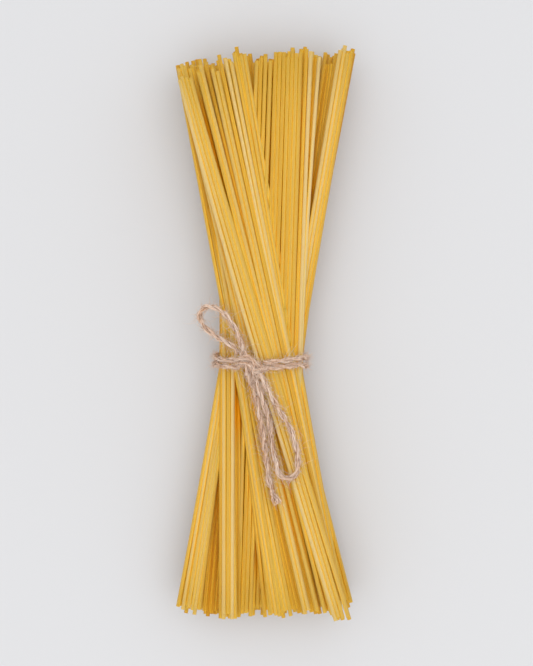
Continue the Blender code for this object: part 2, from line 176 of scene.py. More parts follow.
TAIL = (
    (-7.6, -19.1, 37.4), (-6.3, -22.2, 36.2), (-5.0, -25.4, 35.6), (-3.8, -29.5, 35.4),
    (-2.8, -33.6, 35.4), (-2.0, -37.7, 35.4), (-1.3, -41.8, 35.4), (-0.7, -45.9, 35.4),
    (-0.2, -50.0, 35.4), (0.4, -54.1, 35.4), (0.9, -58.2, 35.4), (1.4, -62.3, 35.4),
    (1.9, -66.4, 35.4), (2.8, -70.4, 35.5), (4.2, -74.4, 35.6), (6.1, -78.2, 35.8),
)
TWINE = 0.0023
GAP = 0.0003  # between the bundle and the turns
# the two turns: angle round the waist, from the right side down and under to the left (degrees),
# and how far the middle of each turn is from TIE_Y there (mm)
TURN_ANGLES = (87, 60, 40, 15, -10, -60, -90, -130, -160, -180, -200, -215, -230, -242)
TURN_OFFSETS = (
    (0.0, 0.7, 1.5, 2.1, 2.0, 1.6, 1.5, 2.2, 2.9, 2.6, 1.6, 1.1, 0.9, 0.7),
    (-2.8, -2.1, -1.3, -1.8, -1.8, -1.3, -1.3, -1.3, -1.0, -1.0, -1.2, -1.7, -1.9, -2.1),
)
TURN_POINTS = 61

# the lengths that lie over each other in the knot, in mm, each wound over the one before
KNOT_WRAPS = (
    ((-10.8, -9.2, 37.6), (-9.8, -11.4, 38.8), (-8.9, -13.8, 39.3), (-8.1, -16.4, 39.0),
     (-7.6, -19.0, 37.8)),
    ((-9.4, -8.8, 37.8), (-8.0, -11.0, 39.0), (-6.9, -13.6, 39.4), (-5.8, -16.4, 39.2),
     (-4.9, -19.0, 38.3)),
    ((-5.2, -12.6, 38.2), (-3.6, -13.8, 39.6), (-2.2, -15.4, 39.8), (-1.6, -17.2, 38.8),
     (-2.0, -18.8, 37.0)),
    ((-5.0, -17.0, 38.6), (-3.0, -17.4, 39.8), (-1.0, -16.6, 38.9), (0.4, -15.6, 37.4)),
    ((-12.0, -15.4, 36.9), (-10.8, -14.4, 39.0), (-8.5, -13.7, 40.6), (-6.5, -14.6, 40.6),
     (-5.6, -16.6, 39.4), (-6.0, -18.4, 37.6)),
    ((-12.4, -13.0, 36.8), (-11.3, -12.0, 39.0), (-9.0, -11.3, 40.9), (-6.6, -11.8, 41.1),
     (-4.9, -13.6, 40.3), (-4.3, -16.0, 38.6), (-4.6, -17.8, 36.9)),
)

# single loose fibres that stand out, in mm
LOOSE_FIBRES = (
    ((-9.6, -6.8, 37.6), (-7.4, -6.2, 38.4), (-4.6, -5.2, 38.2), (-1.2, -5.6, 37.4)),
    ((-4.0, -12.0, 39.8), (-3.4, -9.6, 39.6), (-3.6, -7.4, 38.6), (-3.2, -5.4, 37.8)),
    ((-3.6, -12.6, 39.4), (-1.6, -11.6, 39.0), (-0.6, -13.4, 38.2)),
    ((8.6, -13.4, 36.6), (9.4, -11.0, 37.2), (10.8, -8.2, 37.2), (12.6, -6.2, 36.4)),
    ((9.4, -13.2, 36.4), (11.4, -10.0, 36.6), (14.0, -6.6, 35.6), (15.4, -4.0, 34.4)),
    ((-10.9, -8.4, 37.6), (-13.2, -5.6, 37.2), (-15.4, -5.4, 35.6)),
    ((-12.0, -18.6, 36.2), (-11.4, -21.6, 36.0), (-9.6, -24.6, 36.4), (-6.8, -27.4, 36.6)),
    ((5.4, -44.0, 37.0), (6.6, -47.6, 37.2), (8.6, -51.4, 37.0), (9.0, -56.0, 36.8)),
    ((7.4, -64.6, 37.8), (8.6, -68.6, 37.6), (11.6, -71.2, 37.2), (14.6, -71.0, 36.8)),
    ((9.6, -66.4, 38.2), (10.8, -69.4, 38.6), (12.2, -73.6, 37.4)),
    ((17.2, -15.0, 34.4), (18.6, -17.6, 33.4), (18.9, -20.6, 31.6)),
)
LOOSE_FIBRE = 0.00007  # radius at the thick end

JUTE = "dry jute fibre"

# how the twine is made up: shares are of its radius
RING_STEP = 0.0006  # from ring to ring along a filament
FILAMENTS = 10  # in each ply, round a core
PLY_OUT = 0.56  # from the twine's middle to a ply's
FILAMENT_OUT = 0.43  # from a ply's middle to a filament's
FILAMENT = 0.19
PLY_CORE = 0.32
PLY_LAY = 1.9  # a ply's own length of lay, against the twine's
FRAY_LENGTH = 0.006  # how far from the frayed end the plies come loose
FRAYED_OPEN = 2.2  # how much more the filaments spread there than the plies
# what varies along it: how much, and the length of one bump
LAY_VARIES = (0.25, 0.007)
PLY_VARIES = (0.07, 0.006)
TWIST_VARIES = (0.5, 0.008)
PLACE_VARIES = (0.16, 0.004)
FILAMENT_VARIES = (0.15, 0.003)

# the loose hairs
HAIR = 0.000085  # radius at the root, as fine as still shows
HAIR_STEPS = 5
HAIR_REACH = 0.003  # length of a middling hair
HAIR_SPREAD = 0.55  # how widely the lengths are spread about it
SHORTEST_HAIR, LONGEST_HAIR = 0.001, 0.0095
LOWEST_HAIR, HIGHEST_HAIR = 0.0001, 0.0434
TIE_HAIRS = 0.6  # length of the turns' hairs against the bow's
KNOT_HAIRS = 0.8  # how densely they grow on the knot against the bow

# ---- the stage ----
CAMERA_PLACE = (0.0009, -0.0002)
FLOOR_SIZE = 6.0
LAMP_PLACE = (0.05, -0.15, 1.35)
LAMP_SIZE = 1.6
SKY_COLOUR = (0.98, 0.985, 1.0, 1.0)


def linear(code):
    """sRGB hex to linear red, green and blue."""
    parts = [int(code[i:i + 2], 16) / 255 for i in (0, 2, 4)]
    return tuple(c / 12.92 if c <= 0.04045 else ((c + 0.055) / 1.055) ** 2.4 for c in parts)


# ---- settings ----
def length_setting(name, about, value, low, high):
    return FloatProperty(name=name, description=about, default=value, min=low, max=high, precision=4,
                         unit="LENGTH")


def colour_setting(name, about, colour):
    return FloatVectorProperty(name=name, description=about, subtype="COLOR", size=3, min=0.0, max=1.0,
                               default=colour)


class PastaSettings(bpy.types.PropertyGroup):
    strand_width: length_setting("Strand width", "Diameter of one dry strand", 0.0019, 0.001, 0.004)
    strand_length: length_setting("Strand length", "Length of one dry strand", 0.257, 0.1, 0.4)
    uneven_ends: length_setting(
        "Uneven ends", "How far the strands' ends stand out of line", 0.0016, 0.0, 0.01)
    colour: colour_setting("Colour", "Colour of the durum wheat pasta", linear("CEA74B"))
    pale_colour: colour_setting("Pale colour", "Colour of the palest, most floury strands", linear("D7BC80"))
    deep_colour: colour_setting("Deep colour", "Colour of the glassiest strands", linear("C8972F"))
    # painted shade: amber for the strands that lie under others
    painted_amber_shade: colour_setting("Amber colour", "Colour of strands that others shade", linear("BE7C06"))
    # painted light: a lighter colour put between neighbours, where they shade each other
    painted_light_colour: colour_setting(
        "Lit-through colour", "Colour between neighbours, where light comes through them", linear("FCCF4A"))
    # painted shade: amber put on the strands that lie deep in the pile
    painted_shade_colour: colour_setting(
        "Buried colour", "Colour of the strands that light reaches through others", linear("F0A910"))


class TwineSettings(bpy.types.PropertyGroup):
    width: length_setting("Twine width", "Diameter of the two-ply twine", TWINE, 0.001, 0.004)
    lay: length_setting(
        "Length of lay", "Length in which the two plies go once round each other", 0.015, 0.004, 0.03)
    hairs_per_mm: FloatProperty(
        name="Hairs per millimetre", description="Loose fibres that stand out of a millimetre of twine",
        default=5.5, min=0.0, max=20.0)
    colour: colour_setting("Colour", "Colour of the dry jute fibre", linear("E0BCA0"))
    pale_colour: colour_setting("Pale colour", "Colour of the bleached fibres", linear("F0DAC8"))
    deep_colour: colour_setting("Deep colour", "Colour of the darker, barky fibres", linear("B0815D"))
    # painted shade: the dark brown put between the plies
    painted_crease_shade: colour_setting("Crease colour", "Colour between the plies", linear("7C4C28"))


class StageSettings(bpy.types.PropertyGroup):
    floor_colour: colour_setting("Floor colour", "Colour of the plain pale floor", linear("D1D1D2"))
    camera_height: length_setting("Camera height", "Height of the camera above the floor", 0.7534, 0.2, 3.0)
    lens: FloatProperty(
        name="Lens", description="Focal length of the camera", default=85.0, min=20.0, max=200.0,
        unit="CAMERA")
    lamp_power: FloatProperty(
        name="Lamp power", description="Power of the large soft lamp overhead",
        default=7.8, min=0.0, max=200.0, unit="POWER")
    sky_strength: FloatProperty(
        name="Sky strength", description="Strength of the even light from all round",
        default=0.94, min=0.0, max=10.0)


# ---- small tools ----
def select_nothing():
    if bpy.context.object and bpy.context.object.mode != "OBJECT":
        bpy.ops.object.mode_set(mode="OBJECT")
    bpy.ops.object.select_all(action="DESELECT")


def add_node(tree, kind, settings=None, **links):
    """Adds a node, sets its properties and sockets, and links sockets that are given another's."""
    node = tree.nodes.new(kind)
    for key, value in (settings or {}).items():
        setattr(node, key, value)
    for key, value in links.items():
        socket = node.inputs[int(key[1:])] if key[0] == "_" else node.inputs[key.replace("_", " ")]
        if isinstance(value, bpy.types.NodeSocket):
            tree.links.new(value, socket)
        else:
            socket.default_value = value
    return node


def ranged(tree, value, low, high, **more):
    """The share, from 0 to 1, that a value has come from low to high."""
    return add_node(tree, "ShaderNodeMapRange", more, Value=value, From_Min=low, From_Max=high).outputs[0]


def blend(tree, share, one, other, kind="MIX"):
    """One colour turned into another, by a share from 0 to 1."""
    return add_node(tree, "ShaderNodeMix", {"data_type": "RGBA", "blend_type": kind},
                    _0=share, _6=one, _7=other).outputs[2]


def add_ramp(tree, share, stops):
    """Adds a colour ramp, from the places of its stops in order and their colours."""
    ramp = add_node(tree, "ShaderNodeValToRGB", Fac=share)
    elements = ramp.color_ramp.elements
    elements[0].position = stops[0][0]
    elements[1].position = stops[-1][0]
    for place, _ in stops[1:-1]:
        elements.new(place)
    for element, (_, colour) in zip(elements, stops):
        element.color = (*colour, 1.0)
    return ramp.outputs[0]


def new_material(name):
    mat = bpy.data.materials.new(name)
    mat.use_nodes = True
    mat.node_tree.nodes.clear()
    return mat, mat.node_tree


def mesh_piece(name, points, faces, sizes, attributes):
    """A piece from arrays: its points, its faces' corners one after the other, and corners per face."""
    mesh = bpy.data.meshes.new(name)
    mesh.vertices.add(len(points))
    mesh.vertices.foreach_set("co", np.asarray(points, np.float32).ravel())
    mesh.loops.add(len(faces))
    mesh.loops.foreach_set("vertex_index", np.asarray(faces, np.int32))
    mesh.polygons.add(len(sizes))
    mesh.polygons.foreach_set("loop_start", np.concatenate([[0], np.cumsum(sizes)[:-1]]).astype(np.int32))
    mesh.update(calc_edges=True)
    mesh.polygons.foreach_set("use_smooth", np.ones(len(sizes), bool))
    for key, values in attributes:
        layer = mesh.attributes.new(key, "FLOAT", "POINT")
        layer.data.foreach_set("value", np.asarray(values, np.float32))
    mesh.validate()
    obj = bpy.data.objects.new(name, mesh)
    bpy.context.scene.collection.objects.link(obj)
    return obj


def dress(obj, mat, slot, *nodes):
    obj.data.materials.clear()
    obj.data.materials.append(mat)
    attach(obj, "root")
    if nodes:
        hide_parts(*nodes)
    return obj


# ---- the pile ----
def between(ends, share):
    return ends[0] + (ends[1] - ends[0]) * share


def lay_hanks(width):
    """Both ends of every strand, hank by hank. A stray at one end is answered at the other, so that
    the strand still goes through its place in the tie."""
    draw = np.random.default_rng(SEED)
    to_tie = (END_PLANE - TIE_Y) / (2 * END_PLANE)
    answer = (1 - to_tie) / to_tie
    heads, feet, slides, holds, tones = [], [], [], [], []
    for across, layers, head_x, head_z, foot_x, foot_z, slide, pitch, paleness in HANKS.values():
        for row in range(layers):
            for column in range(across):
                # the layers of a wide hank lie half a strand aside of each other
                aside = (0.25 if row % 2 else -0.25) * (across > 4) * (layers > 1)
                t = (column + 0.5 + aside) / across
                stray = STRAY[row] * draw.normal(0, 1, 2)
                depth = width / MM / 2 + row * pitch
                heads.append((between(head_x, t), between(head_z, t) - depth) + stray)
                feet.append((between(foot_x, t), between(foot_z, t) - depth) - stray * answer)
                slides.append(slide)
                holds.append(HOLD[row])
                # paleness, less painted shade for every layer under the top one
                tones.append(paleness[column % len(paleness)] - SHADE_PER_LAYER * row + TONE_SPREAD * draw.normal())
    places = (np.array(values) * MM for values in (heads, feet, slides))
    return (*places, np.array(holds), np.array(tones))


def settle(heads, feet, holds, slides, reach, width):
    """Pushes the strands apart until they lie beside each other. Each stays a slightly springy rod:
    a low polynomial along Y. The upper layers keep their places, and the ones beneath give way."""
    count = len(heads)
    last = END_PLANE - SHORT_OF_ENDS * MM
    y = np.linspace(last, -last, STATIONS)
    step = y[0] - y[1]
    shapes = np.polynomial.legendre.legvander(-y / END_PLANE, SHAPES - 1)
    pose = np.zeros((count, SHAPES, 2))
    pose[:, 0], pose[:, 1] = (heads + feet) / 2, (feet - heads) / 2
    home = pose.copy()
    there = (y < (slides + reach)[:, None]) & (y > (slides - reach)[:, None])
    first, second = np.triu_indices(count, 1)
    tie_at = int(np.argmin(abs(y - TIE_Y)))
    stiff = np.array(BOW_STIFFNESS)
    centre, half = np.array(TIE_CENTRE), np.array(TIE_HALF) - width / 2
    for sweep in range(SWEEPS):
        line = np.einsum("ks,nsc->nkc", shapes, pose)
        if sweep % WATCH_EVERY == 0:
            close = np.zeros(len(first), bool)
            for k in range(STATIONS):
                gap = ((line[first, k] - line[second, k]) ** 2).sum(1)
                close |= (gap < (width * WATCHED) ** 2) & there[first, k] & there[second, k]
            one, other = first[close], second[close]
            both = there[one] & there[other]
            pairs = np.arange(len(one))
        apart = line[one] - line[other]
        nearest = np.where(both, (apart ** 2).sum(2), 1.0).argmin(1)
        inner = np.clip(nearest, 1, STATIONS - 2)
        drift = (apart[pairs, inner + 1] - apart[pairs, inner - 1]) / 2
        pace = (drift ** 2).sum(1)
        gap = apart[pairs, nearest]
        along = np.clip(-(gap * drift).sum(1) / np.maximum(pace, 1e-12), -HALFWAY, HALFWAY)
        touches = [(one, other, nearest, gap + drift * along[:, None])]
        level = pace < (LEVEL * step) ** 2
        for k in (both.argmax(1), STATIONS - 1 - both[:, ::-1].argmax(1), np.full(len(one), tie_at)):
            also = level & (k != nearest)
            touches.append((one[also], other[also], k[also], apart[pairs[also], k[also]]))
        i, j, k, gap = (np.concatenate(part) for part in zip(*touches))
        length = np.linalg.norm(gap, axis=1)
        short = width * APART - length
        hit = short > 0
        i, j, k = i[hit], j[hit], k[hit]
        push = gap[hit] / np.maximum(length[hit], 1e-9)[:, None] * (short[hit] * PUSH)[:, None]
        system = np.zeros((count, SHAPES, SHAPES))
        wish = np.zeros((count, SHAPES, 2))
        row = shapes[k]
        square = row[:, :, None] * row[:, None, :]
        np.add.at(system, i, square)
        np.add.at(system, j, square)
        np.add.at(wish, i, row[:, :, None] * push[:, None, :])
        np.add.at(wish, j, -row[:, :, None] * push[:, None, :])
        for k in (tie_at - 1, tie_at, tie_at + 1):
            off = (line[:, k] - centre) / half
            size = np.linalg.norm(off, axis=1)
            out = np.nonzero(size > 1)[0]
            back = (line[out, k] - centre) * (1 / size[out] - 1)[:, None]
            system[out] += TIE_PULL * np.outer(shapes[k], shapes[k])
            wish[out] += TIE_PULL * shapes[k][None, :, None] * back[:, None, :]
        for k in range(0, STATIONS, EDGE_EVERY):
            for axis, (low, high) in enumerate((LIMITS[0], LIMITS[2])):
                for limit, side in ((low * MM + width / 2, 1), (high * MM - width / 2, -1)):
                    over = side * (limit - line[:, k, axis])
                    out = np.nonzero(over > 0)[0]
                    system[out] += EDGE_PUSH * np.outer(shapes[k], shapes[k])
                    wish[out, :, axis] += EDGE_PUSH * shapes[k] * (side * over[out])[:, None]
        system += np.diag(stiff + DRAG)
        wish -= stiff[None, :, None] * pose
        system[:, :2, :2] += holds[:, None, None] * np.eye(2)
        wish[:, :2] += holds[:, None, None] * (home[:, :2] - pose[:, :2])
        pose += np.linalg.solve(system, wish)
    return pose


def route_of(pose, y):
    """Places and slopes, in x and z, of every strand at its own points y."""
    t = -y / END_PLANE
    places = np.polynomial.legendre.legvander(t, SHAPES - 1)
    slopes = np.stack([np.polynomial.legendre.legval(t, np.polynomial.legendre.legder(np.eye(SHAPES)[k]))
                       for k in range(SHAPES)], axis=-1) / -END_PLANE
    return np.einsum("nks,nsc->nkc", places, pose), np.einsum("nks,nsc->nkc", slopes, pose)


def model_strand(width, length):
    """One strand, modelled once: a small disc drawn out along Y in stretches, its cut ends eased."""
    select_nothing()
    bpy.ops.mesh.primitive_circle_add(
        vertices=STRAND_SIDES, radius=width / 2, fill_type="NGON",
        location=(0, -length / 2, 0), rotation=(math.pi / 2, 0, 0))
    obj = bpy.context.object
    bpy.ops.object.transform_apply(location=True, rotation=True, scale=False)
    bpy.ops.object.mode_set(mode="EDIT")
    for _ in range(STRAND_STRETCHES):
        bpy.ops.mesh.extrude_region_move(
            TRANSFORM_OT_translate={"value": (0, length / STRAND_STRETCHES, 0)})
    mesh = bmesh.from_edit_mesh(obj.data)
    for face in mesh.faces:
        face.select_set(len(face.verts) > 4)
    bmesh.update_edit_mesh(obj.data)
    bpy.ops.mesh.inset(thickness=width * CUT_EDGE, depth=width * CUT_RISE, use_individual=True)
    bpy.ops.mesh.select_all(action="SELECT")
    bpy.ops.mesh.normals_make_consistent(inside=False)
    bpy.ops.object.mode_set(mode="OBJECT")
    return obj


def grown(mask, square):
    """The mask of every cross section, grown by one cell: to four neighbours, or to all eight."""
    wide = mask.copy()
    wide[:, 1:] |= mask[:, :-1]
    wide[:, :-1] |= mask[:, 1:]
    out = wide.copy()
    source = wide if square else mask
    out[:, :, 1:] |= source[:, :, :-1]
    out[:, :, :-1] |= source[:, :, 1:]
    return out


def burial(pose, slides, reach, width, cloud):
    """How deep every point of the cloud lies in the pile, in metres, with narrow gaps counted as
    inside. The pile is cut into cross sections of small cells, and the depth is counted in cells."""
    cell = CELL * MM
    last = END_PLANE + PAST_ENDS * MM
    y = np.linspace(last, -last, SECTIONS)
    line, _ = route_of(pose, np.repeat(y[None], len(pose), 0))
    margin = (BRIDGED + 3) * cell
    low = np.array([-ROOM[0] / 2 * MM - margin, -margin])
    shape = (SECTIONS, *(int((size * MM + 2 * margin) / cell) for size in ROOM))
    mask = np.zeros(shape, bool)
    half = int(width / 2 / cell) + 1
    for strand in range(len(pose)):
        on = np.nonzero(abs(y - slides[strand]) < reach[strand])[0]
        middle = (line[strand, on] - low) / cell
        for a in range(-half, half + 1):
            for b in range(-half, half + 1):
                i, j = (middle[:, 0] + a).astype(int), (middle[:, 1] + b).astype(int)
                near = np.hypot(i + 0.5 - middle[:, 0], j + 0.5 - middle[:, 1]) * cell < width / 2
                mask[on[near], i[near], j[near]] = True
    for step in range(BRIDGED):
        mask = grown(mask, step % 2 == 1)
    for step in range(BRIDGED):
        mask = ~grown(~mask, step % 2 == 1)
    depth = np.zeros(shape, np.float32)
    for step in range(DEEPEST):
        depth += mask
        mask = ~grown(~mask, step % 2 == 1)
    k = np.clip(np.rint((y[0] - cloud[:, 1]) / (y[0] - y[1])).astype(int), 0, len(y) - 1)
    at = (cloud[:, [0, 2]] - low) / cell - 0.5
    i, j = at[:, 0].astype(int), at[:, 1].astype(int)
    u, v = at[:, 0] - i, at[:, 1] - j
    return cell * (depth[k, i, j] * (1 - u) * (1 - v) + depth[k, i + 1, j] * u * (1 - v)
                   + depth[k, i, j + 1] * (1 - u) * v + depth[k, i + 1, j + 1] * u * v)


def strand_bundle(settings):
    """All strands as one piece: the one that was modelled, copied along every route in the pile."""
    width, length = settings.strand_width, settings.strand_length
    model = model_strand(width, length)
    points = np.array([v.co for v in model.data.vertices])
    corners = np.array([loop.vertex_index for loop in model.data.loops])
    sizes = np.array([len(face.vertices) for face in model.data.polygons])
    bpy.data.objects.remove(model, do_unlink=True)

    heads, feet, slides, holds, tones = lay_hanks(width)
    count = len(heads)
    draw = np.random.default_rng(SEED + 1)
    slant = np.linalg.norm(feet - heads, axis=1) / (2 * END_PLANE)
    reach = length / 2 / np.sqrt(1 + slant ** 2)
    slides = slides + settings.uneven_ends * draw.normal(0, 1, count)
    slides = np.clip(slides, LIMITS[1][0] * MM + reach, LIMITS[1][1] * MM - reach)
    pose = settle(heads, feet, holds, slides, reach, width)

    along = slides[:, None] + points[:, 1] / (length / 2) * reach[:, None]
    place, slope = route_of(pose, along)
    roll = draw.uniform(0, 2 * math.pi, count)
    thick = draw.normal(1.0, THICKNESS_SPREAD, count)
    c, s = np.cos(roll)[:, None], np.sin(roll)[:, None]
    side = (points[:, 0] * c - points[:, 2] * s) * thick[:, None]
    rise = (points[:, 0] * s + points[:, 2] * c) / thick[:, None]
    stretch_x = np.sqrt(1 + slope[:, :, 0] ** 2)
    stretch_z = np.sqrt(1 + slope[:, :, 1] ** 2)
    x = place[:, :, 0] + side / stretch_x
    z = place[:, :, 1] + rise / stretch_z
    y = along - slope[:, :, 0] * side / stretch_x - slope[:, :, 1] * rise / stretch_z
    cloud = np.stack([x, y, z], axis=-1).reshape(-1, 3)
    cloud[:, 2] = np.maximum(cloud[:, 2], OFF_FLOOR)
    faces = (corners[None, :] + (np.arange(count) * len(points))[:, None]).ravel()
    # depth in the pile, for the painted amber shade of the inner strands
    buried = burial(pose, slides, reach, width, cloud)
    return mesh_piece("spaghetti_strands", cloud, faces, np.tile(sizes, count),
                      [("tone", np.repeat(tones, len(points))), ("buried", buried / MM)])


def core_body():
    """The hidden middle of the bundle: one ring drawn out from station to station and resized there."""
    select_nothing()
    bpy.ops.mesh.primitive_circle_add(
        vertices=CORE_SIDES, radius=1.0, fill_type="NGON", rotation=(math.pi / 2, 0, 0))
    obj = bpy.context.object
    obj.name = "spaghetti_core"
    bpy.ops.object.transform_apply(location=False, rotation=True, scale=False)
    bpy.ops.object.mode_set(mode="EDIT")
    previous = None
    for y, half, low, high in CORE:
        size = Vector((half, 1.0, (high - low) / 2)) * MM
        centre = Vector((0.0, y * MM, (low + high) / 2 * MM))
        if previous is None:
            bpy.ops.transform.resize(value=(size.x, 1.0, size.z), center_override=(0, 0, 0))
            bpy.ops.transform.translate(value=centre)
        else:
            bpy.ops.mesh.extrude_region_move(TRANSFORM_OT_translate={"value": tuple(centre - previous[1])})
            bpy.ops.transform.resize(value=(size.x / previous[0].x, 1.0, size.z / previous[0].z),
                                     center_override=tuple(centre))
        previous = (size, centre)
    bpy.ops.mesh.select_all(action="SELECT")
    bpy.ops.mesh.normals_make_consistent(inside=False)
    bpy.ops.object.mode_set(mode="OBJECT")
    # painted shade: the hidden core counts as deepest in the pile, so it is painted fully amber
    for key, value in (("tone", CORE_TONE), ("buried", CELL * DEEPEST)):
        layer = obj.data.attributes.new(key, "FLOAT", "POINT")
        layer.data.foreach_set("value", np.full(len(obj.data.vertices), value, np.float32))
    return obj


# ---- pasta ----
def dry_pasta(settings):
    """Dry durum wheat pasta, drawn through a bronze die: matt and slightly translucent. The deep amber in
    the gaps is painted shade, and the lighter crevices between neighbours are painted light."""
    mat, tree = new_material("dry durum wheat pasta")
    tone = add_node(tree, "ShaderNodeAttribute", {"attribute_name": "tone"}).outputs["Fac"]
    buried = add_node(tree, "ShaderNodeAttribute", {"attribute_name": "buried"}).outputs["Fac"]
    where = add_node(tree, "ShaderNodeTexCoord").outputs["Object"]
    # streaks that the die leaves along a strand: 0.5 mm across it, 25 mm along it
    across, along = 1 / (0.5 * MM), 1 / (25 * MM)
    stretched = add_node(tree, "ShaderNodeMapping", Vector=where, Scale=(across, along, across)).outputs[0]
    streak = add_node(tree, "ShaderNodeTexNoise", Vector=stretched, Scale=1.0, Detail=2.0).outputs["Fac"]
    # the grain of a bronze die: 2.6 to a millimetre
    grain = add_node(tree, "ShaderNodeTexNoise", Vector=where, Scale=2.6 / MM, Detail=1.0).outputs["Fac"]
    # the pasta's own colour runs from glassy to floury; below glassy, the ramp runs into painted amber shade
    own = add_ramp(tree, ranged(tree, tone, -0.6, 1.0), (
        (0.0, settings.painted_amber_shade), (0.4, settings.deep_colour), (0.7, settings.colour),
        (1.0, settings.pale_colour)))
    streaky = add_node(tree, "ShaderNodeMapRange", Value=streak, From_Min=0.3, From_Max=0.7,
                       To_Min=0.96, To_Max=1.03).outputs[0]
    colour = blend(tree, 1.0, own, streaky, "MULTIPLY")
    # painted light between two neighbours, where they shade each other; deeper in the pile, painted shade in
    # amber
    open_sky = add_node(tree, "ShaderNodeAmbientOcclusion", {"samples": 6, "only_local": True},
                        Distance=1.8 * MM).outputs["AO"]
    colour = blend(tree, ranged(tree, open_sky, 0.98, 0.45), colour, (*settings.painted_light_colour, 1.0))
    # painted shade: amber on the strands that lie deep in the pile
    inside = ranged(tree, buried, 0.8, 2.6, interpolation_type="SMOOTHSTEP")
    colour = blend(tree, inside, colour, (*settings.painted_shade_colour, 1.0))
    bump = add_node(tree, "ShaderNodeBump", Height=grain, Strength=0.25, Distance=0.1 * MM).outputs[0]
    # matt, and cloudy enough that light comes out again within a third of a strand
    shader = add_node(tree, "ShaderNodeBsdfPrincipled", Base_Color=colour, Normal=bump, Roughness=0.5,
                      IOR=1.5, Specular_IOR_Level=0.15, Subsurface_Weight=0.5, Subsurface_Scale=0.6 * MM,
                      Subsurface_Radius=(1.0, 0.95, 0.9))
    add_node(tree, "ShaderNodeOutputMaterial", Surface=shader.outputs[0])
    return mat


# ---- twine ----
def smooth_route(points, step):
    """Evenly spaced points on a Catmull-Rom curve through a route's own points."""
    knots = [Vector(p) for p in points]
    knots = [2 * knots[0] - knots[1]] + knots + [2 * knots[-1] - knots[-2]]
    fine = []
    for a, b, c, d in zip(knots, knots[1:], knots[2:], knots[3:]):
        for i in range(12):
            t = i / 12
            fine.append(0.5 * (2 * b + (c - a) * t + (2 * a - 5 * b + 4 * c - d) * t * t
                               + (3 * b - a - 3 * c + d) * t ** 3))
    fine.append(knots[-2])
    fine = np.array(fine)
    walked = np.concatenate([[0], np.cumsum(np.linalg.norm(np.diff(fine, axis=0), axis=1))])
    goals = np.linspace(0, walked[-1], max(3, round(walked[-1] / step)) + 1)
    return np.stack([np.interp(goals, walked, fine[:, axis]) for axis in range(3)], axis=1)


def turn_route(offsets, step):
    """Centre line of one turn round the waist, from the knot's right side under to its left."""
    angles = np.array(TURN_ANGLES, float)
    degrees = np.linspace(angles[0], angles[-1], TURN_POINTS)
    # eased from mark to mark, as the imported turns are
    mark = np.interp(-degrees, -angles, np.arange(len(angles)))
    part = mark - np.floor(mark)
    eased = np.floor(mark) + part * part * (3 - 2 * part)
    y = TIE_Y + np.interp(eased, np.arange(len(angles)), offsets) * MM
    x = TIE_CENTRE[0] + (TIE_HALF[0] + TWINE / 2 + GAP) * np.cos(np.radians(degrees))
    z = TIE_CENTRE[1] + (TIE_HALF[1] + TWINE / 2 + GAP) * np.sin(np.radians(degrees))
    return smooth_route(np.stack([x, y, z], axis=1), step)


def frames_along(line):
    """Tangent and two normals at every point of a line, carried along without twisting."""
    tangent = np.gradient(line, axis=0)
    tangent /= np.linalg.norm(tangent, axis=1)[:, None]
    normal = np.zeros_like(line)
    start = np.array([0.0, 0.0, 1.0]) if abs(tangent[0, 2]) < 0.8 else np.array([0.0, 1.0, 0.0])
    previous = start - tangent[0] * (start @ tangent[0])
    for i, direction in enumerate(tangent):
        previous = previous - direction * (previous @ direction)
        previous = previous / np.linalg.norm(previous)
        normal[i] = previous
    return tangent, normal, np.cross(tangent, normal)


def slow_noise(draw, count, amount, wave):
    """Smooth random numbers along a line of rings, with bumps about one wave long."""
    knots = max(4, int(count * RING_STEP / wave) + 3)
    values = draw.normal(0, 1, knots)
    t = np.linspace(0, knots - 1.001, count)
    i = t.astype(int)
    f = t - i
    f = f * f * (3 - 2 * f)
    return amount * (values[i] * (1 - f) + values[np.minimum(i + 1, knots - 1)] * f)


class Yarn:
    """Collects the filaments and hairs of a length of twine as arrays."""

    def __init__(self):
        self.points, self.faces, self.sizes, self.tones, self.count = [], [], [], [], 0

    def add(self, line, radii, tone, sides):
        """A round tapering filament along a line, closed at both ends."""
        _, normal, across = frames_along(line)
        angle = np.arange(sides) * 2 * math.pi / sides
        cosine, sine = np.cos(angle)[None, :, None], np.sin(angle)[None, :, None]
        ring = normal[:, None] * cosine + across[:, None] * sine
        points = line[:, None] + ring * np.asarray(radii)[:, None, None]
        rows = len(line)
        i, j = np.meshgrid(np.arange(rows - 1), np.arange(sides), indexing="ij")
        k = (j + 1) % sides
        quads = np.stack([i * sides + j, i * sides + k, (i + 1) * sides + k, (i + 1) * sides + j], -1)
        first = np.arange(sides)[::-1]
        last = (rows - 1) * sides + np.arange(sides)
        self.points.append(points.reshape(-1, 3))
        self.faces.append(np.concatenate([quads.ravel(), first, last]) + self.count)
        self.sizes.append(np.concatenate([np.full(quads.shape[0] * quads.shape[1], 4), [sides, sides]]))
        self.tones.append(np.full(rows * sides, tone))
        self.count += rows * sides

    def piece(self, name):
        return mesh_piece(name, np.concatenate(self.points), np.concatenate(self.faces),
                          np.concatenate(self.sizes), [("tone", np.concatenate(self.tones))])


def round_about(normal, across, angle, away):
    """The way from a line's points to others that far away, at an angle round it."""
    return (normal * np.cos(angle)[:, None] + across * np.sin(angle)[:, None]) * away[:, None]


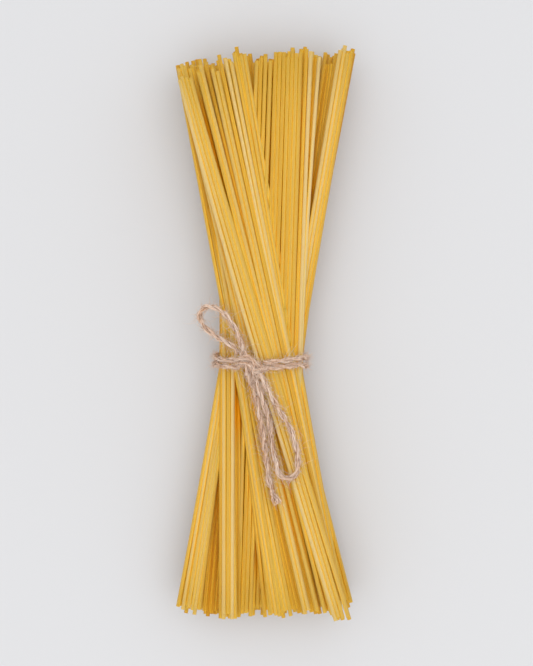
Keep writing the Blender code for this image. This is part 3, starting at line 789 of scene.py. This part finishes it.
def lay_twine(yarn, line, settings, draw, frayed=False):
    """Two plies laid round each other, each of a few coarse filaments round a core filament."""
    radius = settings.width / 2
    _, normal, across = frames_along(line)
    count = len(line)
    walked = np.concatenate([[0], np.cumsum(np.linalg.norm(np.diff(line, axis=0), axis=1))])
    to_end = walked[-1] - walked
    loosen = np.clip(1 - to_end / FRAY_LENGTH, 0, 1) ** 2 if frayed else np.zeros(count)
    start = draw.uniform(0, 2 * math.pi)
    wander = slow_noise(draw, count, *LAY_VARIES)
    for ply in range(2):
        angle = 2 * math.pi * walked / settings.lay + math.pi * ply + start + wander
        plump = 1 + slow_noise(draw, count, *PLY_VARIES)
        middle = line + round_about(normal, across, angle, radius * PLY_OUT * (1 + loosen))
        for part in range(FILAMENTS + 1):
            is_core = part == FILAMENTS
            own = 2 * math.pi * part / FILAMENTS + start - 2 * math.pi * walked / (settings.lay * PLY_LAY)
            own = own + slow_noise(draw, count, *TWIST_VARIES)
            away = 0.0 if is_core else radius * FILAMENT_OUT
            away = away * plump * (1 + slow_noise(draw, count, *PLACE_VARIES))
            track = middle + round_about(normal, across, own, away * (1 + FRAYED_OPEN * loosen))
            thick = radius * (PLY_CORE if is_core else FILAMENT) * plump
            thick = thick * (1 + slow_noise(draw, count, *FILAMENT_VARIES))
            last = count
            if frayed:
                thick = thick * np.clip(to_end / MM, 0.6, 1)
                # every other filament is up to two rings shorter
                last -= int(draw.integers(0, 3)) * (part % 2)
            yarn.add(track[:last], thick[:last], draw.random(), 5)


def add_hairs(yarn, line, settings, draw, outward=None, density=1.0, length_scale=1.0):
    """Short loose fibres that stand out of the twine, each bent and tapering to nothing."""
    tangent, normal, across = frames_along(line)
    length = np.linalg.norm(np.diff(line, axis=0), axis=1).sum()
    for _ in range(int(length / MM * settings.hairs_per_mm * density)):
        i = int(draw.integers(0, len(line)))
        angle = draw.uniform(0, 2 * math.pi)
        out = normal[i] * math.cos(angle) + across[i] * math.sin(angle)
        if outward is not None:
            away = line[i] - outward
            away[1] = 0.0
            away /= np.linalg.norm(away)
            out = out + 0.9 * away
        else:
            out[2] = abs(out[2]) * 0.5
        out /= np.linalg.norm(out)
        reach = draw.lognormal(math.log(HAIR_REACH), HAIR_SPREAD)
        reach = length_scale * min(max(reach, SHORTEST_HAIR), LONGEST_HAIR)
        # it sets out partly along the twine and partly away from it
        heading = tangent[i] * draw.choice([-1, 1]) * draw.uniform(0.4, 1.2) + out * draw.uniform(0.3, 1.1)
        bend = draw.normal(0, 1, 3) * 0.35
        point = line[i] + out * settings.width / 2
        trail = [point]
        for _ in range(HAIR_STEPS):
            heading = heading / np.linalg.norm(heading)
            point = point + heading * reach / HAIR_STEPS
            trail.append(point)
            heading = heading + bend * 0.5 + draw.normal(0, 1, 3) * 0.08
        trail = np.array(trail)
        trail[:, 2] = np.clip(trail[:, 2], LOWEST_HAIR, HIGHEST_HAIR)
        yarn.add(trail, HAIR * np.linspace(1, 0.3, HAIR_STEPS + 1), draw.uniform(0.3, 1.1), 3)


def jute_fibre(settings):
    """Dry jute: fine, stiff bast fibres without gloss, streaked lengthwise from pale straw to bark brown."""
    mat, tree = new_material(JUTE)
    tone = add_node(tree, "ShaderNodeAttribute", {"attribute_name": "tone"}).outputs["Fac"]
    where = add_node(tree, "ShaderNodeTexCoord").outputs["Object"]
    # patches of bark and bleach, 0.7 to a millimetre
    blotch = add_node(tree, "ShaderNodeTexNoise", Vector=where, Scale=0.7 / MM, Detail=3.0,
                      Roughness=0.7).outputs["Fac"]
    mixed = add_node(tree, "ShaderNodeMath", {"operation": "MULTIPLY_ADD"},
                     _0=tone, _1=0.55, _2=blotch).outputs[0]
    own = add_ramp(tree, mixed, ((0.42, settings.deep_colour), (0.68, settings.colour),
                                 (1.0, settings.pale_colour)))
    # painted shade: a dark brown between the plies, where they shade each other
    crease = add_node(tree, "ShaderNodeAmbientOcclusion", {"samples": 6, "only_local": True},
                      Distance=0.7 * MM).outputs["AO"]
    colour = blend(tree, ranged(tree, crease, 0.15, 0.75), (*settings.painted_crease_shade, 1.0), own)
    shader = add_node(tree, "ShaderNodeBsdfPrincipled", Base_Color=colour, Roughness=0.85,
                      Sheen_Weight=0.25, Sheen_Roughness=0.5, Specular_IOR_Level=0.3)
    add_node(tree, "ShaderNodeOutputMaterial", Surface=shader.outputs[0])
    return mat


def shared_jute(settings):
    """The fibre's one material, for all pieces of twine."""
    return bpy.data.materials.get(JUTE) or jute_fibre(settings)


# ---- operators ----
class BUNDLE_OT_stage(bpy.types.Operator):
    """Adds the camera, the plain pale floor and the soft studio light"""
    bl_idname = "bundle.stage"
    bl_label = "Stage"

    def execute(self, context):
        settings = context.scene.bundle_stage
        select_nothing()
        bpy.ops.object.camera_add(location=(*CAMERA_PLACE, settings.camera_height))
        camera = context.object
        camera.data.lens = settings.lens
        camera.data.clip_start, camera.data.clip_end = 0.01, 20.0
        context.scene.camera = camera

        select_nothing()
        bpy.ops.mesh.primitive_plane_add(size=FLOOR_SIZE, location=(0, 0, 0))
        floor = context.object
        floor.name = "floor"
        mat, tree = new_material("matt painted board")
        shader = add_node(tree, "ShaderNodeBsdfPrincipled",
                          Base_Color=(*settings.floor_colour, 1.0), Roughness=0.7)
        add_node(tree, "ShaderNodeOutputMaterial", Surface=shader.outputs[0])
        floor.data.materials.append(mat)

        bpy.ops.object.light_add(type="AREA", location=LAMP_PLACE)
        lamp = context.object
        lamp.name = "soft_lamp"
        lamp.data.size = LAMP_SIZE
        lamp.data.energy = settings.lamp_power
        lamp.rotation_euler = (-Vector(LAMP_PLACE)).to_track_quat("-Z", "Y").to_euler()

        world = bpy.data.worlds.new("studio")
        context.scene.world = world
        world.use_nodes = True
        sky = world.node_tree.nodes["Background"]
        sky.inputs["Color"].default_value = SKY_COLOUR
        sky.inputs["Strength"].default_value = settings.sky_strength
        context.scene.view_settings.view_transform = "Standard"
        return {"FINISHED"}


class BUNDLE_OT_bow(bpy.types.Operator):
    """Lays the bow's two loops and its tail, the free ends of the twine"""
    bl_idname = "bundle.bow"
    bl_label = "Bow"

    def execute(self, context):
        settings = context.scene.bundle_twine
        mat = shared_jute(settings)
        for number, (name, route, end) in enumerate((
                ("loop_left", LOOP_LEFT, "object"), ("loop_right", LOOP_RIGHT, "object"),
                ("tail", TAIL, "bare"))):
            draw = np.random.default_rng(SEED + 20 + number)
            line = smooth_route(np.array(route) * MM, RING_STEP)
            yarn, fuzz = Yarn(), Yarn()
            lay_twine(yarn, line, settings, draw, frayed=end == "bare")
            add_hairs(fuzz, line, settings, draw)
            cord = dress(yarn.piece(f"bow_{name}"), mat, "twine", f"twine_{name}")
            hairs = dress(fuzz.piece(f"bow_{name}_hairs"), mat, "twine")
        return {"FINISHED"}


class BUNDLE_OT_tie(bpy.types.Operator):
    """Winds the two turns of twine round the waist of the bundle"""
    bl_idname = "bundle.tie"
    bl_label = "Tie"

    def execute(self, context):
        settings = context.scene.bundle_twine
        mat = shared_jute(settings)
        fuzz = Yarn()
        for number, offsets in enumerate(TURN_OFFSETS):
            draw = np.random.default_rng(SEED + 30 + number)
            line = turn_route(offsets, RING_STEP)
            yarn = Yarn()
            lay_twine(yarn, line, settings, draw)
            add_hairs(fuzz, line, settings, draw, outward=np.array((TIE_CENTRE[0], 0.0, TIE_CENTRE[1])),
                      length_scale=TIE_HAIRS)
            dress(yarn.piece(f"tie_turn_{number + 1}"), mat, "twine", f"twine_turn_{number + 1}")
        dress(fuzz.piece("tie_hairs"), mat, "twine")
        return {"FINISHED"}


class BUNDLE_OT_knot(bpy.types.Operator):
    """Ties the knot: short lengths of twine over each other, and all the long loose fibres"""
    bl_idname = "bundle.knot"
    bl_label = "Knot"

    def execute(self, context):
        settings = context.scene.bundle_twine
        mat = shared_jute(settings)
        draw = np.random.default_rng(SEED + 40)
        yarn, fuzz = Yarn(), Yarn()
        for route in KNOT_WRAPS:
            line = smooth_route(np.array(route) * MM, RING_STEP)
            lay_twine(yarn, line, settings, draw)
            add_hairs(fuzz, line, settings, draw, density=KNOT_HAIRS)
        for route in LOOSE_FIBRES:
            line = smooth_route(np.array(route) * MM, MM)
            fuzz.add(line, LOOSE_FIBRE * np.linspace(1, 0.4, len(line)), draw.uniform(0.5, 1.0), 4)
        dress(yarn.piece("knot_wraps"), mat, "twine", "twine_knot")
        dress(fuzz.piece("knot_hairs"), mat, "twine")
        return {"FINISHED"}


class BUNDLE_OT_strands(bpy.types.Operator):
    """Piles the strands, settles them against each other in one mesh, and adds the hidden core"""
    bl_idname = "bundle.strands"
    bl_label = "Strands"

    def execute(self, context):
        settings = context.scene.bundle_pasta
        mat = dry_pasta(settings)
        dress(strand_bundle(settings), mat, "pasta", "spaghetti_bundle")
        dress(core_body(), mat, "pasta")
        return {"FINISHED"}


class BUNDLE_PT_panel(bpy.types.Panel):
    """The pieces of the bundle and their settings"""
    bl_idname = "BUNDLE_PT_panel"
    bl_label = "Spaghetti bundle"
    bl_space_type = "VIEW_3D"
    bl_region_type = "UI"
    bl_category = "Spaghetti"

    def draw(self, context):
        layout = self.layout
        for group, operators in (("bundle_stage", ("bundle.stage",)),
                                 ("bundle_twine", ("bundle.bow", "bundle.tie", "bundle.knot")),
                                 ("bundle_pasta", ("bundle.strands",))):
            settings = getattr(context.scene, group)
            box = layout.box()
            for key in settings.bl_rna.properties.keys():
                if key not in ("rna_type", "name"):
                    box.prop(settings, key)
            for name in operators:
                box.operator(name)


CLASSES = (PastaSettings, TwineSettings, StageSettings, BUNDLE_OT_stage, BUNDLE_OT_bow, BUNDLE_OT_tie,
           BUNDLE_OT_knot, BUNDLE_OT_strands, BUNDLE_PT_panel)


def register():
    for item in CLASSES:
        bpy.utils.register_class(item)
    bpy.types.Scene.bundle_pasta = PointerProperty(type=PastaSettings)
    bpy.types.Scene.bundle_twine = PointerProperty(type=TwineSettings)
    bpy.types.Scene.bundle_stage = PointerProperty(type=StageSettings)


def unregister():
    for key in ("bundle_pasta", "bundle_twine", "bundle_stage"):
        delattr(bpy.types.Scene, key)
    for item in reversed(CLASSES):
        bpy.utils.unregister_class(item)


def main():
    register()
    bpy.ops.bundle.stage()
    bpy.ops.bundle.bow()
    bpy.ops.bundle.tie()
    bpy.ops.bundle.knot()
    bpy.ops.bundle.strands()


if __name__ == "__main__":
    main()
